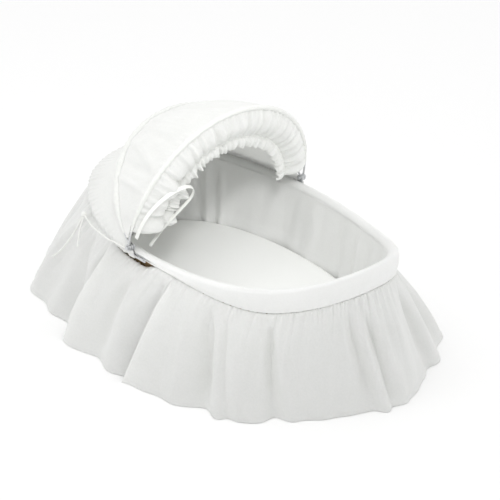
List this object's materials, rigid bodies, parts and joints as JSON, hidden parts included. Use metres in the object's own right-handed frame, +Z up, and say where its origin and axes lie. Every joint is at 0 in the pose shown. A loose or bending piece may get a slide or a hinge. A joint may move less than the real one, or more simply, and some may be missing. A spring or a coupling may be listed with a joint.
{
  "type": "bassinet basket",
  "caption": "Oval woven bassinet basket with padded lining, mattress, gathered floor-length skirt and a folding frilled hood on two bows.",
  "frame": {"origin": "on the floor, at the middle of the box round the skirt hem", "axes": "+X along the length towards the foot end, -Y the near side, +Z up"},
  "size_m": [1, 0.694, 0.4556],
  "materials": {
    "skirt_cotton": "plain-weave cotton, softly creased",
    "lining_cotton": "padded plain-weave cotton",
    "hood_cotton": "plain-weave cotton over bows",
    "frill_cotton": "gathered light cotton",
    "sheet_jersey": "fine jersey",
    "tape_cotton": "herringbone tape and twisted cord",
    "elastic": "woven elastic",
    "foam": "open-cell foam, matt",
    "wicker": "natural peeled willow, satin",
    "zinc_steel": "zinc-plated steel"
  },
  "bodies": {
    "basket": {"base_board": "wicker", "base_border": "wicker", "bracket_screws": "zinc_steel", "drawstring_knot": "tape_cotton", "drawstring_long_tail": "tape_cotton", "drawstring_short_tail": "tape_cotton", "far_bracket": "zinc_steel", "fitted_sheet": "sheet_jersey", "head_drawstring": "tape_cotton", "lining_band": "lining_cotton", "lining_floor": "lining_cotton", "lining_wall": "lining_cotton", "mattress": "foam", "near_bracket": "zinc_steel", "pivot_bolts": "zinc_steel", "pivot_nuts": "zinc_steel", "pivot_washers": "zinc_steel", "rim_border": "wicker", "skirt_far_panel": "skirt_cotton", "skirt_foot_panel": "skirt_cotton", "skirt_head_panel": "skirt_cotton", "skirt_near_panel": "skirt_cotton", "upright_stakes": "wicker", "woven_wall": "wicker"},
    "rear_bow": {"rear_bow_wire": "zinc_steel", "rear_bow_sleeve": "hood_cotton", "hood_back_panel": "hood_cotton", "hood_top_panel": "hood_cotton"},
    "front_bow": {"front_bow_wire": "zinc_steel", "front_bow_sleeve": "hood_cotton", "hood_frill": "frill_cotton", "frill_elastic": "elastic", "frill_ruffle": "frill_cotton", "hood_tie_tape": "tape_cotton"}
  },
  "joints": [
    {"name": "rear_bow_fold", "type": "hinge", "parent": "basket", "child": "rear_bow", "pos_m": [-0.023, 0, 0.214], "axis": [0, 1, 0], "range_deg": [-38, 0], "deforming": ["hood_back_panel"]},
    {"name": "front_bow_fold", "type": "hinge", "parent": "rear_bow", "child": "front_bow", "pos_m": [-0.023, 0, 0.214], "axis": [0, 1, 0], "range_deg": [-41, 0], "deforming": ["hood_top_panel"]}
  ]
}
